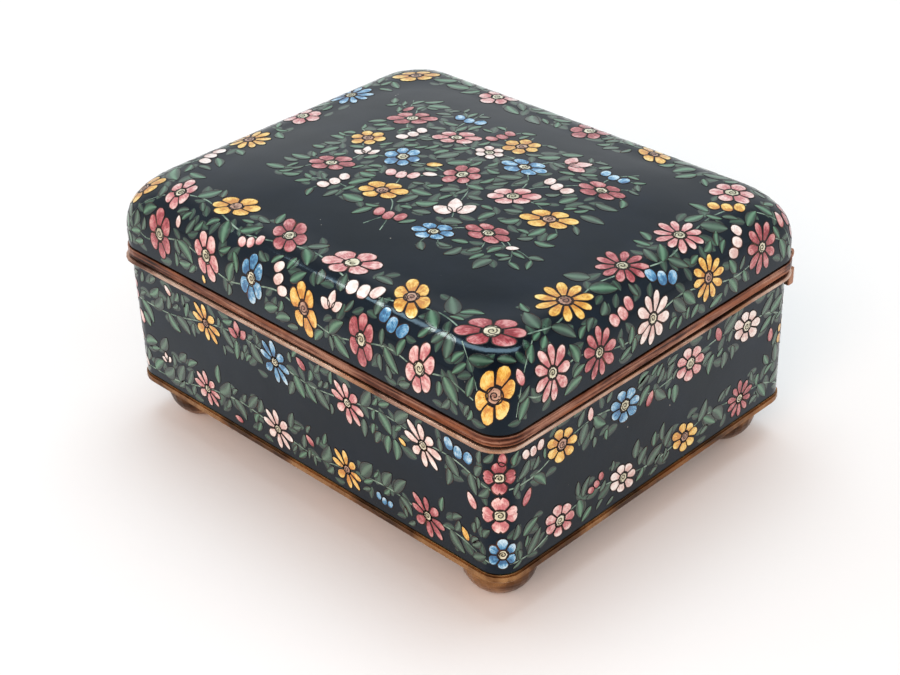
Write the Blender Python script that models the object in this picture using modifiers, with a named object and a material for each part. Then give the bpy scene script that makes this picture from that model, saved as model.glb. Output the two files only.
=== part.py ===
"""Hinged cloisonne enamel box on four bun feet, modelled at its real size in metres, +Z up.

The long sides face -Y (front) and +Y (back, where the hinge is). The origin is on the ground,
under the middle of the box and its hinge.
"""
import math

import bmesh
import bpy
from mathutils import Vector

# Overall sizes of the base, measured over its enamelled walls
LENGTH = 0.1100
WIDTH = 0.0884
CORNER_RADIUS = 0.0050
BASE_WALL_HEIGHT = 0.0276
WALL_THICKNESS = 0.0018
FLOOR_THICKNESS = 0.0018

# Gap kept between pieces that touch
TOUCH_GAP = 0.0003

# Copper plate under the base
PLATE_THICKNESS = 0.0018
PLATE_OVERHANG = 0.0003
PLATE_EDGE_ROUND = 0.0003
PLATE_LEDGE_HEIGHT = 0.0004

# Feet
FOOT_HEIGHT = 0.0090
FOOT_RADIUS = 0.0076
FOOT_WIDEST_BELOW_PLATE = 0.0022
FOOT_NECK_RADIUS = 0.0073
FOOT_INSET = 0.0097
STEEPEST_TREAD_SINE = 0.98

# Copper rims on either side of the seam
BASE_RIM_HEIGHT = 0.0009
BASE_RIM_OVERHANG = 0.00125
LID_RIM_HEIGHT = 0.0020
LID_RIM_OVERHANG = 0.0003
RIM_EDGE_ROUND = 0.0001

# Lid. It stands proud of the base walls, sits a little far back and rides high at the hinge.
LID_OVERHANG = 0.00065
LID_SET_BACK = 0.0004
LID_THICKNESS = 0.0018
LID_WALL_HEIGHT = 0.0012
SHOULDER_WIDTH = 0.0100
SHOULDER_HEIGHT = 0.0134
SHOULDER_POWER = 2.8
CROWN_CORNER_RADIUS = 0.0160
CROWN_RISE = 0.0025
SEAM_GAP_FRONT = 0.0003
SEAM_GAP_BACK = 0.0009

# Hinge along the back
BARREL_RADIUS = 0.0014
BARREL_LENGTH = 0.1030
PIN_RADIUS = 0.0005
PIN_CLEARANCE = 0.0003
KNUCKLE_COUNT = 5
BASE_LEAF_LENGTH = 0.1070
BASE_LEAF_HEIGHT = 0.0040
BASE_LEAF_THICKNESS = 0.0018
LID_LEAF_LENGTH = 0.1000
LID_LEAF_HEIGHT = 0.0028
LID_LEAF_THICKNESS = 0.0010
LEAF_EDGE_ROUND = 0.0003
LEAF_HOLD = 0.0012
WEB_DEPTH_SHARE = 0.9
BORE_OVERRUN = 0.0050

# Fineness of round forms. The flat cap of the crown is this many steps wide.
CORNER_STEPS = 6
SHOULDER_STEPS = 8
CROWN_STEPS = 4
CROWN_CAP_STEPS = 0.4
FOOT_STEPS = 28
BOWL_STEPS = 8
BARREL_STEPS = 20
SMOOTH_BELOW = math.radians(35)
MERGE_DISTANCE = 0.00005

# Levels and places that follow from the sizes above
PLATE_BOTTOM = FOOT_HEIGHT
BODY_BOTTOM = PLATE_BOTTOM + PLATE_THICKNESS + TOUCH_GAP
BODY_TOP = BODY_BOTTOM + BASE_WALL_HEIGHT
BASE_RIM_BOTTOM = BODY_TOP + TOUCH_GAP
BASE_RIM_TOP = BASE_RIM_BOTTOM + BASE_RIM_HEIGHT
LID_RIM_BOTTOM = BASE_RIM_TOP + SEAM_GAP_BACK
LID_RIM_TOP = LID_RIM_BOTTOM + LID_RIM_HEIGHT
LID_BOTTOM = LID_RIM_TOP + TOUCH_GAP
SHOULDER_BOTTOM = LID_BOTTOM + LID_WALL_HEIGHT

LID_RIM_REACH = LID_OVERHANG + LID_RIM_OVERHANG
HINGE_Z = BASE_RIM_TOP + SEAM_GAP_BACK / 2
HINGE_Y = WIDTH / 2 + max(BASE_RIM_OVERHANG, LID_RIM_REACH + LID_SET_BACK) + TOUCH_GAP + BARREL_RADIUS
FRONT_Y = -WIDTH / 2 - BASE_RIM_OVERHANG
CENTRING_Y = -(HINGE_Y + BARREL_RADIUS + FRONT_Y) / 2
LID_DROP_ANGLE = math.atan2(SEAM_GAP_BACK - SEAM_GAP_FRONT, HINGE_Y - FRONT_Y)

COPPER_BROWN = (0.30, 0.15, 0.10)
COPPER_GOLDEN = (0.38, 0.22, 0.12)
ENAMEL_BLACK = (0.012, 0.013, 0.018)


def clear_scene():
    for obj in list(bpy.data.objects):
        bpy.data.objects.remove(obj, do_unlink=True)


def make_collection(name):
    collection = bpy.data.collections.new(name)
    bpy.context.scene.collection.children.link(collection)
    return collection


def make_material(name, colour, roughness, metallic):
    material = bpy.data.materials.new(name)
    material.use_nodes = True
    shader = material.node_tree.nodes["Principled BSDF"]
    shader.inputs["Base Color"].default_value = (*colour, 1.0)
    shader.inputs["Roughness"].default_value = roughness
    shader.inputs["Metallic"].default_value = metallic
    return material


def place(obj, collection, parent, material=None):
    """Link an object, give it its material and hang it on its parent."""
    collection.objects.link(obj)
    obj.parent = parent
    if material is not None:
        obj.data.materials.append(material)
    return obj


def smooth(mesh):
    mesh.shade_smooth()
    mesh.set_sharp_from_angle(angle=SMOOTH_BELOW)


def rounded_rectangle(half_x, half_y, radius, z):
    """Points of a rounded rectangle, anticlockwise seen from above."""
    points = []
    for quarter, (side_x, side_y) in enumerate(((1, 1), (-1, 1), (-1, -1), (1, -1))):
        centre_x = side_x * (half_x - radius)
        centre_y = side_y * (half_y - radius)
        for step in range(CORNER_STEPS + 1):
            angle = math.radians(90) * (quarter + step / CORNER_STEPS)
            points.append(Vector((
                centre_x + radius * math.cos(angle),
                centre_y + radius * math.sin(angle),
                z,
            )))
    return points


def wall_loop(offset, z):
    """The base's outline, pushed outwards by offset."""
    return rounded_rectangle(LENGTH / 2 + offset, WIDTH / 2 + offset, CORNER_RADIUS + offset, z)


def loft(name, loops, ring=False):
    """Skin a row of equal loops, either into a ring or with a flat cap at each end.

    The loops run up the outside first, so that the faces point outwards.
    """
    bm = bmesh.new()
    rows = [[bm.verts.new(point) for point in loop] for loop in loops]
    count = len(rows[0])
    pairs = list(zip(rows, rows[1:]))
    if ring:
        pairs.append((rows[-1], rows[0]))
    for lower, upper in pairs:
        for i in range(count):
            j = (i + 1) % count
            bm.faces.new((lower[i], lower[j], upper[j], upper[i]))
    if not ring:
        bm.faces.new(list(reversed(rows[0])))
        bm.faces.new(rows[-1])
    mesh = bpy.data.meshes.new(name)
    bm.to_mesh(mesh)
    bm.free()
    smooth(mesh)
    return bpy.data.objects.new(name, mesh)


def box_body():
    inner = -WALL_THICKNESS
    return loft("box_body", [
        wall_loop(0, BODY_BOTTOM),
        wall_loop(0, BODY_TOP),
        wall_loop(inner, BODY_TOP),
        wall_loop(inner, BODY_BOTTOM + FLOOR_THICKNESS),
    ])


def bottom_plate():
    top = PLATE_BOTTOM + PLATE_THICKNESS
    return loft("bottom_plate", [
        wall_loop(PLATE_OVERHANG - PLATE_EDGE_ROUND, PLATE_BOTTOM),
        wall_loop(PLATE_OVERHANG, PLATE_BOTTOM + PLATE_EDGE_ROUND),
        wall_loop(PLATE_OVERHANG, top - PLATE_LEDGE_HEIGHT),
        wall_loop(0, top - PLATE_LEDGE_HEIGHT),
        wall_loop(0, top),
    ])


def base_rim():
    """A rounded bead on the wall's top edge, flush with the wall inside."""
    middle = (BASE_RIM_BOTTOM + BASE_RIM_TOP) / 2
    bulge = BASE_RIM_HEIGHT / 2
    bead_centre = BASE_RIM_OVERHANG - bulge
    loops = [wall_loop(-WALL_THICKNESS, BASE_RIM_BOTTOM)]
    for step in range(CORNER_STEPS + 1):
        angle = math.radians(180) * (step / CORNER_STEPS - 0.5)
        loops.append(wall_loop(bead_centre + bulge * math.cos(angle), middle + bulge * math.sin(angle)))
    loops.append(wall_loop(-WALL_THICKNESS, BASE_RIM_TOP))
    return loft("base_rim", loops, ring=True)


def lid_loop(offset, z, corner_radius=None):
    """The lid's outline at its lower edge, pushed outwards by offset."""
    reach = LID_OVERHANG + offset
    radius = CORNER_RADIUS + reach if corner_radius is None else corner_radius
    loop = rounded_rectangle(LENGTH / 2 + reach, WIDTH / 2 + reach, radius, z)
    return [point + Vector((0, LID_SET_BACK, 0)) for point in loop]


def lid_rim():
    outer = LID_RIM_OVERHANG
    return loft("lid_rim", [
        lid_loop(-LID_THICKNESS, LID_RIM_BOTTOM),
        lid_loop(outer - RIM_EDGE_ROUND, LID_RIM_BOTTOM),
        lid_loop(outer, LID_RIM_BOTTOM + RIM_EDGE_ROUND),
        lid_loop(outer, LID_RIM_TOP - RIM_EDGE_ROUND),
        lid_loop(outer - RIM_EDGE_ROUND, LID_RIM_TOP),
        lid_loop(-LID_THICKNESS, LID_RIM_TOP),
    ], ring=True)


def lid_surface(depth):
    """Loops of the lid from its lower edge up to the crown, depth below the outer surface."""
    shoulder_height = SHOULDER_HEIGHT - depth
    wall_radius = CORNER_RADIUS + LID_OVERHANG - depth
    loops = [lid_loop(-depth, LID_BOTTOM), lid_loop(-depth, SHOULDER_BOTTOM)]
    for step in range(1, SHOULDER_STEPS + 1):
        angle = math.radians(90) * step / SHOULDER_STEPS
        inset = 1 - math.cos(angle) ** (2 / SHOULDER_POWER) if step < SHOULDER_STEPS else 1
        rise = math.sin(angle) ** (2 / SHOULDER_POWER)
        radius = wall_radius + (CROWN_CORNER_RADIUS - depth - wall_radius) * inset
        loops.append(lid_loop(-depth - SHOULDER_WIDTH * inset, SHOULDER_BOTTOM + shoulder_height * rise, radius))
    edge = SHOULDER_BOTTOM + shoulder_height
    crown_edge = loops[-1]
    for step in range(1, CROWN_STEPS + 1):
        share = 1 - step / (CROWN_STEPS + CROWN_CAP_STEPS)
        lift = CROWN_RISE * (1 - share ** 2)
        loops.append([
            Vector((point.x * share, LID_SET_BACK + (point.y - LID_SET_BACK) * share, edge + lift))
            for point in crown_edge
        ])
    return loops


def lid_shell():
    inside = lid_surface(LID_THICKNESS)
    outside = lid_surface(0)
    return loft("lid_shell", list(reversed(inside)) + outside)


def foot(name, x, y, collection):
    """A turned bun foot. Its profile runs from the top, down the outside, to the flat tread."""
    top = PLATE_BOTTOM - TOUCH_GAP
    centre_z = PLATE_BOTTOM - FOOT_WIDEST_BELOW_PLATE
    tread_angle = math.asin(min(STEEPEST_TREAD_SINE, centre_z / FOOT_RADIUS))
    profile = [(0, top), (FOOT_NECK_RADIUS, top)]
    for step in range(BOWL_STEPS + 1):
        angle = tread_angle * step / BOWL_STEPS
        profile.append((FOOT_RADIUS * math.cos(angle), centre_z - centre_z * math.sin(angle) / math.sin(tread_angle)))
    profile.append((0, 0))
    mesh = bpy.data.meshes.new(name)
    edges = [(i, i + 1) for i in range(len(profile) - 1)]
    mesh.from_pydata([(radius, 0, z) for radius, z in profile], edges, [])
    obj = bpy.data.objects.new(name, mesh)
    obj.location = (x, y, 0)
    collection.objects.link(obj)
    screw = obj.modifiers.new("turned", "SCREW")
    screw.axis = "Z"
    screw.steps = FOOT_STEPS
    screw.render_steps = FOOT_STEPS
    screw.use_merge_vertices = True
    screw.merge_threshold = MERGE_DISTANCE
    screw.use_smooth_shade = True
    return obj


def cylinder_mesh(name, radius, length):
    """A cylinder along X, centred on its origin."""
    bm = bmesh.new()
    bmesh.ops.create_cone(
        bm, cap_ends=True, segments=BARREL_STEPS, radius1=radius, radius2=radius, depth=length)
    for vert in bm.verts:
        vert.co = Vector((vert.co.z, vert.co.y, -vert.co.x))
    mesh = bpy.data.meshes.new(name)
    bm.to_mesh(mesh)
    bm.free()
    smooth(mesh)
    return mesh


def box_object(name, low, high, edge_round=0.0):
    """A box between two corners, with its edges rounded where asked."""
    low, high = Vector(low), Vector(high)
    bm = bmesh.new()
    bmesh.ops.create_cube(bm, size=1.0)
    size = high - low
    for vert in bm.verts:
        vert.co = Vector(vert.co[i] * size[i] for i in range(3))
    if edge_round > 0:
        bmesh.ops.bevel(bm, geom=bm.edges, offset=edge_round, segments=2, affect="EDGES", profile=0.5)
    mesh = bpy.data.meshes.new(name)
    bm.to_mesh(mesh)
    bm.free()
    smooth(mesh)
    obj = bpy.data.objects.new(name, mesh)
    obj.location = (low + high) / 2
    return obj


def knuckle_spans(first):
    """The stretches of the barrel that belong to one leaf: every other knuckle from first."""
    pitch = BARREL_LENGTH / KNUCKLE_COUNT
    spans = []
    for index in range(first, KNUCKLE_COUNT, 2):
        start = -BARREL_LENGTH / 2 + index * pitch
        low = start + (TOUCH_GAP / 2 if index > 0 else 0)
        high = start + pitch - (TOUCH_GAP / 2 if index < KNUCKLE_COUNT - 1 else 0)
        spans.append((low, high))
    return spans


def add_boolean(obj, other, operation):
    modifier = obj.modifiers.new(other.name, "BOOLEAN")
    modifier.operation = operation
    modifier.object = other
    modifier.solver = "EXACT"


def hinge_leaf(name, length, inner_y, outer_y, low_z, high_z, first_knuckle, collection, cutters, parent):
    """A leaf with its knuckles, in coordinates whose origin is the hinge axis.

    Each knuckle is a barrel with a web that runs from the axis into the leaf.
    """
    leaf = box_object(name, (-length / 2, inner_y, low_z), (length / 2, outer_y, high_z), LEAF_EDGE_ROUND)
    collection.objects.link(leaf)
    leaf.parent = parent
    hold_z = high_z - LEAF_HOLD if low_z > 0 else low_z + LEAF_HOLD
    for number, (low, high) in enumerate(knuckle_spans(first_knuckle), 1):
        barrel = bpy.data.objects.new(
            f"{name}_barrel_{number}", cylinder_mesh(f"{name}_barrel_{number}", BARREL_RADIUS, high - low))
        barrel.location = ((low + high) / 2, 0, 0)
        web = box_object(
            f"{name}_web_{number}",
            (low, -BARREL_RADIUS, min(0, hold_z)),
            (high, -BARREL_RADIUS * (1 - WEB_DEPTH_SHARE), max(0, hold_z)))
        for helper in (barrel, web):
            cutters.objects.link(helper)
            helper.parent = parent
            helper.hide_render = True
            helper.display_type = "WIRE"
            add_boolean(leaf, helper, "UNION")
    bore_length = BARREL_LENGTH + 2 * BORE_OVERRUN
    bore = bpy.data.objects.new(
        f"{name}_bore", cylinder_mesh(f"{name}_bore", PIN_RADIUS + PIN_CLEARANCE, bore_length))
    cutters.objects.link(bore)
    bore.parent = parent
    bore.hide_render = True
    bore.display_type = "WIRE"
    add_boolean(leaf, bore, "DIFFERENCE")
    return leaf


def build():
    clear_scene()
    parts = make_collection("enamel_box")
    cutters = make_collection("cutters")
    enamel = make_material("black_enamel", ENAMEL_BLACK, 0.15, 0.0)
    copper = make_material("brown_copper", COPPER_BROWN, 0.4, 1.0)
    golden = make_material("golden_copper", COPPER_GOLDEN, 0.38, 1.0)

    base = bpy.data.objects.new("base", None)
    base.location = (0, CENTRING_Y, 0)
    parts.objects.link(base)
    hinge = bpy.data.objects.new("hinge", None)
    hinge.location = (0, HINGE_Y, HINGE_Z)
    hinge.parent = base
    parts.objects.link(hinge)
    lid = bpy.data.objects.new("lid", None)
    lid.rotation_euler.x = LID_DROP_ANGLE
    lid.parent = hinge
    parts.objects.link(lid)

    place(box_body(), parts, base, enamel)
    place(bottom_plate(), parts, base, golden)
    place(base_rim(), parts, base, copper)
    for end, side_x in (("left", -1), ("right", 1)):
        for face, side_y in (("front", -1), ("back", 1)):
            foot_x = side_x * (LENGTH / 2 - FOOT_INSET)
            foot_y = side_y * (WIDTH / 2 - FOOT_INSET)
            piece = foot(f"foot_{face}_{end}", foot_x, foot_y, parts)
            piece.parent = base
            piece.data.materials.append(golden)

    for piece, material in ((lid_shell(), enamel), (lid_rim(), copper)):
        for vert in piece.data.vertices:
            vert.co -= Vector((0, HINGE_Y, HINGE_Z))
        place(piece, parts, lid, material)

    wall_y = WIDTH / 2 - HINGE_Y
    base_leaf = hinge_leaf(
        "base_hinge_leaf", BASE_LEAF_LENGTH,
        wall_y + TOUCH_GAP, wall_y + TOUCH_GAP + BASE_LEAF_THICKNESS,
        BASE_RIM_BOTTOM - TOUCH_GAP - BASE_LEAF_HEIGHT - HINGE_Z, BASE_RIM_BOTTOM - TOUCH_GAP - HINGE_Z,
        0, parts, cutters, hinge)
    base_leaf.data.materials.append(copper)
    lid_wall_y = wall_y + LID_OVERHANG + LID_SET_BACK
    lid_leaf = hinge_leaf(
        "lid_hinge_leaf", LID_LEAF_LENGTH,
        lid_wall_y + TOUCH_GAP, lid_wall_y + TOUCH_GAP + LID_LEAF_THICKNESS,
        LID_BOTTOM - HINGE_Z, LID_BOTTOM + LID_LEAF_HEIGHT - HINGE_Z,
        1, parts, cutters, lid)
    lid_leaf.data.materials.append(copper)
    pin = bpy.data.objects.new("hinge_pin", cylinder_mesh("hinge_pin", PIN_RADIUS, BARREL_LENGTH))
    place(pin, parts, hinge, golden)


build()
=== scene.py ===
import random
from math import atan2, cos, dist, hypot, pi, radians, sin, sqrt, tan

import bpy
from mathutils import Matrix, Quaternion, Vector
from mathutils.bvhtree import BVHTree
from mathutils.interpolate import poly_3d_calc


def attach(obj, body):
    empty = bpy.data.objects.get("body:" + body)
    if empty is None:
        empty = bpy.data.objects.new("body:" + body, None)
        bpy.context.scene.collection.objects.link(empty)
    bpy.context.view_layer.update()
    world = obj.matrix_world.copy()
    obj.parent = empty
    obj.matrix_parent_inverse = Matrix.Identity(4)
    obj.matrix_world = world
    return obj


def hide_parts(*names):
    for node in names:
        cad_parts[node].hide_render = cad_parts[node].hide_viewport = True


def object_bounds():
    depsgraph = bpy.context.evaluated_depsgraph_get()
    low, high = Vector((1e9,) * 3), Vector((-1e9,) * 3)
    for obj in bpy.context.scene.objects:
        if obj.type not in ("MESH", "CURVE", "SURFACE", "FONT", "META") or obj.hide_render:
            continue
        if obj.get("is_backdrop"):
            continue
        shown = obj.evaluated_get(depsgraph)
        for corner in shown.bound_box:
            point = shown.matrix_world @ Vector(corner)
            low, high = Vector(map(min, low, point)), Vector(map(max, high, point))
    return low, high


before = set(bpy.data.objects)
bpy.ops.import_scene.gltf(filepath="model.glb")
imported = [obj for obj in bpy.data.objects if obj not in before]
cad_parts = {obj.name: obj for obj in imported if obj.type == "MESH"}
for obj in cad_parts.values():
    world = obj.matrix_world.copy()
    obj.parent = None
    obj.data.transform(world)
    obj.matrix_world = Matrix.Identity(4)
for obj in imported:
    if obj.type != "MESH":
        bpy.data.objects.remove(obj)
cad_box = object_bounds()

MM = 0.001
UP = Vector((0, 0, 1))

# Form of the box, in metres, as the solids have it
LENGTH = 0.1100
WIDTH = 0.0884
CORNER_RADIUS = 0.0050
WALL_THICKNESS = 0.0018
FLOOR_THICKNESS = 0.0018
BODY_BOTTOM = 0.0111
BODY_TOP = 0.0387
LID_OVERHANG = 0.00065
LID_SET_BACK = 0.0004
LID_THICKNESS = 0.0018
LID_BOTTOM = 0.0431
LID_WALL_HEIGHT = 0.0012
SHOULDER_WIDTH = 0.0100
SHOULDER_HEIGHT = 0.0134
SHOULDER_POWER = 2.8
CROWN_CORNER_RADIUS = 0.0160
CROWN_RISE = 0.0025
CENTRING_Y = -0.0016
HINGE_Y = 0.04725
HINGE_Z = 0.04035
LID_DROP_ANGLE = atan2(0.0006, 0.0927)

# The enamel ground lies this far inside the solids, so that the cells end flush with them
GROUND_DEPTH = 0.00006

# Heights of the layers of cells over the ground
LIFTS = {
    "dim_leaves": 0.000016, "stems": 0.000024, "leaves": 0.000033, "petals": 0.000040, "hearts": 0.000046,
    "wires": 0.000052, "leaf_wires": 0.000052,
}

# Fineness
CORNER_STEPS = 14
STRAIGHT_STEPS = 24
WALL_STEPS = 12
SHOULDER_STEPS = 30
CROWN_STEPS = 14
PETAL_STEPS = 9
PETAL_ACROSS = (-1.0, -0.5, 0.0, 0.5, 1.0)
LEAF_STEPS = 8
LEAF_ACROSS = (-1.0, -0.35, 0.35, 1.0)

# The ring and the spiral wire in the heart of a flower
RING_STEPS = 16
SPIRAL_TURNS = 1.25
SPIRAL_STEPS = 14

# Drawing sizes in mm
WIRE_WIDTH = 0.25
LEAF_WIRE_WIDTH = 0.10
STEM_WIDTH = 0.30

# Between a stem and its leaves, in degrees
LEAF_LEAN = 48

# Stage
FLOOR_REACH = 3.0
CAMERA_YAW = radians(45.659)
CAMERA_PITCH = radians(31.735)
CAMERA_ROLL = radians(-1.998)
CAMERA_DISTANCE = 0.373347
CAMERA_TARGET = Vector((0, CENTRING_Y, 0.039))
CAMERA_ASIDE = -0.001060
CAMERA_RAISE = -0.015526
CAMERA_LENS = 71.51

rng = random.Random(11)


# Surfaces

def box_outline(reach, radius, middle_y, z):
    """The box's outline pushed outwards by reach, anticlockwise seen from above."""
    straight_x, straight_y = LENGTH / 2 + reach - radius, WIDTH / 2 + reach - radius
    arcs = []
    for quarter, (side_x, side_y) in enumerate(((1, 1), (-1, 1), (-1, -1), (1, -1))):
        arc = []
        for step in range(CORNER_STEPS + 1):
            angle = radians(90) * (quarter + step / CORNER_STEPS)
            x = side_x * straight_x + radius * cos(angle)
            arc.append(Vector((x, side_y * straight_y + radius * sin(angle), z)))
        arcs.append(arc)
    points = []
    for arc, following in zip(arcs, arcs[1:] + arcs[:1]):
        points += arc
        points += [arc[-1].lerp(following[0], step / STRAIGHT_STEPS) for step in range(1, STRAIGHT_STEPS)]
    return [point + Vector((0, middle_y, 0)) for point in points]


def wall_loop(offset, z):
    """The base's outline in the frame's place, pushed outwards by offset."""
    return box_outline(offset, CORNER_RADIUS + offset, CENTRING_Y, z)


# Turns and moves the lid from its drawing place to where it rests
HINGE = Matrix.Translation((0, HINGE_Y, HINGE_Z))
LID_DROP = Matrix.Rotation(LID_DROP_ANGLE, 4, "X")
LID_PLACE = Matrix.Translation((0, CENTRING_Y, 0)) @ HINGE @ LID_DROP @ HINGE.inverted()


def lid_loop(depth, inset, z, radius):
    return box_outline(LID_OVERHANG - depth - inset, radius, LID_SET_BACK, z)


def shoulder_curve(step):
    """How far the shoulder has come in and risen, both from 0 to 1."""
    angle = radians(90) * step / SHOULDER_STEPS
    inset = 1 - cos(angle) ** (2 / SHOULDER_POWER) if step < SHOULDER_STEPS else 1
    return inset, sin(angle) ** (2 / SHOULDER_POWER)


def lid_surface(depth):
    """Loops of the lid from its lower edge to the crown, depth below the outer surface."""
    wall_radius = CORNER_RADIUS + LID_OVERHANG - depth
    crown_radius = CROWN_CORNER_RADIUS - depth
    bottom = LID_BOTTOM + LID_WALL_HEIGHT
    height = SHOULDER_HEIGHT - depth
    loops = [lid_loop(depth, 0, LID_BOTTOM, wall_radius)]
    for step in range(SHOULDER_STEPS + 1):
        inset, rise = shoulder_curve(step)
        radius = wall_radius + (crown_radius - wall_radius) * inset
        loops.append(lid_loop(depth, SHOULDER_WIDTH * inset, bottom + height * rise, radius))
    crown_edge = loops[-1]
    for step in range(1, CROWN_STEPS):
        share = 1 - step / CROWN_STEPS
        z = bottom + height + CROWN_RISE * (1 - share ** 2)
        loops.append([
            Vector((point.x * share, LID_SET_BACK + (point.y - LID_SET_BACK) * share, z))
            for point in crown_edge
        ])
    return [[LID_PLACE @ point for point in loop] for loop in loops]


def link(name, data):
    obj = bpy.data.objects.new(name, data)
    bpy.context.scene.collection.objects.link(obj)
    return obj


def new_mesh(name, points, faces, slots, materials):
    mesh = bpy.data.meshes.new(name)
    mesh.from_pydata(points, [], faces)
    for material in materials:
        mesh.materials.append(material)
    mesh.polygons.foreach_set("material_index", slots)
    mesh.shade_smooth()
    mesh.update()
    return mesh


class Shell:
    """Bands of loops gathered into one mesh. Each band has vertices of its own, so its edges stay crisp."""

    def __init__(self):
        self.points = []
        self.faces = []
        self.slots = []

    def band(self, loops, slot):
        first, count = len(self.points), len(loops[0])
        for loop in loops:
            self.points.extend(loop)
        for low in range(first, len(self.points) - count, count):
            high = low + count
            for i in range(count):
                j = (i + 1) % count
                self.faces.append((low + i, low + j, high + j, high + i))
                self.slots.append(slot)

    def cap(self, loop, slot, downwards=False, joined=False):
        """A flat face within a loop, joined to the band before it if that ended there."""
        if not joined:
            self.points.extend(loop)
        corners = range(len(self.points) - len(loop), len(self.points))
        self.faces.append(tuple(reversed(corners)) if downwards else tuple(corners))
        self.slots.append(slot)

    def build(self, name, materials):
        return link(name, new_mesh(name, self.points, self.faces, self.slots, materials))


def lid_ground(materials):
    shell = Shell()
    outside = lid_surface(GROUND_DEPTH)
    inside = lid_surface(LID_THICKNESS)
    shell.band(outside, 0)
    shell.cap(outside[-1], 0, joined=True)
    shell.band([inside[0], outside[0]], 0)
    shell.band(list(reversed(inside)), 1)
    shell.cap(inside[-1], 1, downwards=True)
    return shell.build("lid_enamel", materials)


def base_ground(materials):
    """Walls in rows, so that the drawing lies close, with the enamelled floor inside."""
    shell = Shell()
    height = BODY_TOP - BODY_BOTTOM
    levels = [BODY_BOTTOM + height * step / WALL_STEPS for step in range(WALL_STEPS + 1)]
    outside = [wall_loop(-GROUND_DEPTH, z) for z in levels]
    inside = [wall_loop(-WALL_THICKNESS, z) for z in (BODY_TOP, BODY_BOTTOM + FLOOR_THICKNESS)]
    shell.band(outside, 0)
    shell.band([outside[-1], inside[0]], 0)
    shell.band(inside, 1)
    shell.cap(inside[1], 1)
    shell.cap(outside[0], 1, downwards=True)
    return shell.build("base_enamel", materials)


class Ground:
    """The outer enamel surface, which the drawing is laid on."""

    def __init__(self, obj):
        mesh = obj.data
        self.points = [vert.co.copy() for vert in mesh.vertices]
        self.normals = [vert.normal.copy() for vert in mesh.vertices]
        self.faces = [tuple(face.vertices) for face in mesh.polygons if face.material_index == 0]
        self.tree = BVHTree.FromPolygons(self.points, self.faces)

    def spot(self, guess):
        """The surface point nearest to a guess, and its smooth normal."""
        point, _, index, _ = self.tree.find_nearest(guess)
        corners = self.faces[index]
        if len(corners) > 4:
            return point, self.normals[corners[0]]
        weights = poly_3d_calc([self.points[i] for i in corners], point)
        normal = Vector()
        for i, weight in zip(corners, weights):
            normal += self.normals[i] * weight
        return point, normal.normalized()


class Layer:
    """Thin cells laid on a ground at one height, gathered into one piece."""

    def __init__(self, ground, lift):
        self.ground = ground
        self.lift = lift
        self.points, self.normals, self.coordinates = [], [], []
        self.faces, self.slots = [], []

    def add(self, guess, coordinates):
        point, normal = self.ground.spot(guess)
        self.points.append(point + normal * self.lift)
        self.normals.append(normal)
        self.coordinates.append(coordinates)

    def grid(self, rows, slot=0, closed=False):
        """rows holds equal rows of guesses. Along the rows is v, from row to row is u."""
        first, count = len(self.points), len(rows[0])
        for row_number, row in enumerate(rows):
            for number, guess in enumerate(row):
                self.add(guess, (row_number / (len(rows) - 1), number / (count - 1)))
        pairs = [(i, i + 1) for i in range(len(rows) - 1)]
        if closed:
            pairs.append((len(rows) - 1, 0))
        for low, high in pairs:
            for i in range(count - 1):
                a, b = first + low * count + i, first + high * count + i
                self.faces.append((a, a + 1, b + 1, b))
                self.slots.append(slot)

    def disc(self, centre, ring, slot=0):
        first, count = len(self.points), len(ring)
        self.add(centre, (0.0, 0.5))
        for i, guess in enumerate(ring):
            self.add(guess, (1.0, 0.5))
            self.faces.append((first, first + 1 + i, first + 1 + (i + 1) % count))
            self.slots.append(slot)

    def build(self, name, body, materials, slot_name):
        mesh = new_mesh(name, self.points, self.faces, self.slots, materials)
        layer = mesh.uv_layers.new(name="cell")
        for loop in mesh.loops:
            layer.data[loop.index].uv = self.coordinates[loop.vertex_index]
        self.face_outwards(mesh)
        mesh.normals_split_custom_set_from_vertices(self.normals)
        obj = link(name, mesh)
        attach(obj, body)

    def face_outwards(self, mesh):
        """Turn round the faces that were drawn clockwise."""
        for face in mesh.polygons:
            if face.normal.dot(self.normals[face.vertices[0]]) < 0:
                face.flip()
        mesh.update()


class Room:
    """Which places of the ground are taken, sorted into cubes so that a look is quick."""

    SIZE = 0.004
    STEPS = (-1, 0, 1)

    def __init__(self):
        self.cubes = {}

    def cube(self, point):
        return tuple(value // self.SIZE for value in point)

    def take(self, point, reach):
        self.cubes.setdefault(self.cube(point), []).append((point, reach))

    def is_free(self, point, reach):
        x, y, z = self.cube(point)
        near = [(x + i, y + j, z + k) for i in self.STEPS for j in self.STEPS for k in self.STEPS]
        return not any(
            (point - other).length < reach + taken
            for cube in near for other, taken in self.cubes.get(cube, ()))


class Place:
    """A small drawing plane that touches a ground at one point. Its coordinates are in mm."""

    def __init__(self, ground, guess, up, turn=0.0):
        self.centre, normal = ground.spot(guess)
        flat_up = (up - normal * up.dot(normal)).normalized()
        flat_right = flat_up.cross(normal)
        cosine, sine = cos(turn), sin(turn)
        self.right = flat_right * cosine + flat_up * sine
        self.up = flat_up * cosine - flat_right * sine

    def at(self, point):
        return self.centre + self.right * (point[0] * MM) + self.up * (point[1] * MM)

    def lay(self, rows):
        return [[self.at(point) for point in row] for row in rows]


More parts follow.
